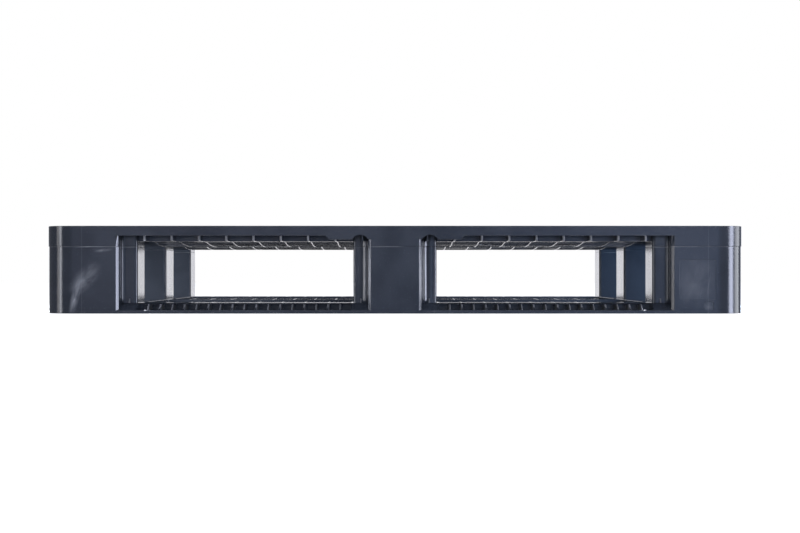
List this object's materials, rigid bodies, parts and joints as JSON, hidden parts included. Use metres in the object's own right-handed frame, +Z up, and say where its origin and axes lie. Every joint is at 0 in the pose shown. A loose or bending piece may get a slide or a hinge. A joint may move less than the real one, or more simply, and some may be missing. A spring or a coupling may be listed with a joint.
{
  "type": "plastic pallet",
  "caption": "Plastic warehouse pallet with a ribbed, perforated deck on hollow blocks and a full perimeter base, open to forks from all four sides.",
  "frame": {"origin": "on the floor, under the middle of the pallet", "axes": "+X along the 1200 mm side, +Y along the 1000 mm side, +Z up; the pictured side faces -Y"},
  "size_m": [1.2, 1, 0.15],
  "materials": {
    "moulded_plastic": "blue-black injection-moulded polyolefin with a soft semi-gloss and fine grain",
    "tube_steel": "galvanised square steel tube",
    "plug_plastic": "black moulded plastic",
    "screw_steel": "zinc-plated steel"
  },
  "bodies": {
    "root": {"base_frame": "moulded_plastic", "top_deck": "moulded_plastic", "steel_tube_front": "tube_steel", "tube_plug_front_left": "plug_plastic", "tube_plug_front_right": "plug_plastic", "steel_tube_mid_front": "tube_steel", "tube_plug_mid_front_left": "plug_plastic", "tube_plug_mid_front_right": "plug_plastic", "steel_tube_mid_back": "tube_steel", "tube_plug_mid_back_left": "plug_plastic", "tube_plug_mid_back_right": "plug_plastic", "steel_tube_back": "tube_steel", "tube_plug_back_left": "plug_plastic", "tube_plug_back_right": "plug_plastic", "block_screws_front_left": "screw_steel", "block_screws_front_centre": "screw_steel", "block_screws_front_right": "screw_steel", "block_screws_middle_left": "screw_steel", "block_screws_middle_centre": "screw_steel", "block_screws_middle_right": "screw_steel", "block_screws_back_left": "screw_steel", "block_screws_back_centre": "screw_steel", "block_screws_back_right": "screw_steel"}
  },
  "joints": []
}
